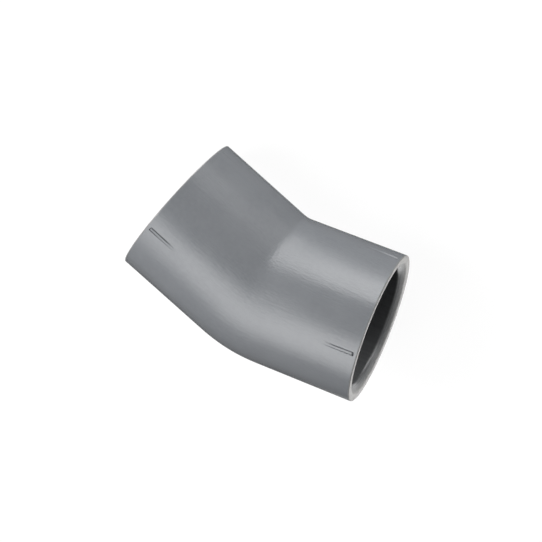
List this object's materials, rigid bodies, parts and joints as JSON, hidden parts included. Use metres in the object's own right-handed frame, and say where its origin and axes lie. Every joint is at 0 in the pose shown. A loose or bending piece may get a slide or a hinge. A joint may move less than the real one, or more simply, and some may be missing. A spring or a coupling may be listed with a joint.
{
  "type": "pvc elbow fitting",
  "caption": "Rigid PVC pipe elbow that turns a line through 22.5 degrees, with a solvent-weld socket at each end and alignment marks around each socket.",
  "frame": {"origin": "centre of the inlet pipe stop, where the end of the inlet pipe seats", "axes": "the inlet socket opens along -X; the bend lies in the XY plane and the outlet turns towards +Y; +Z is square to the bend plane, up when the elbow lies on its side"},
  "size_m": [0.0912, 0.0674, 0.0534],
  "materials": {
    "grey_pvc": "semi-gloss moulded grey PVC"
  },
  "bodies": {
    "root": {"inlet_socket": "grey_pvc", "bend_body": "grey_pvc", "outlet_socket": "grey_pvc"}
  },
  "joints": []
}
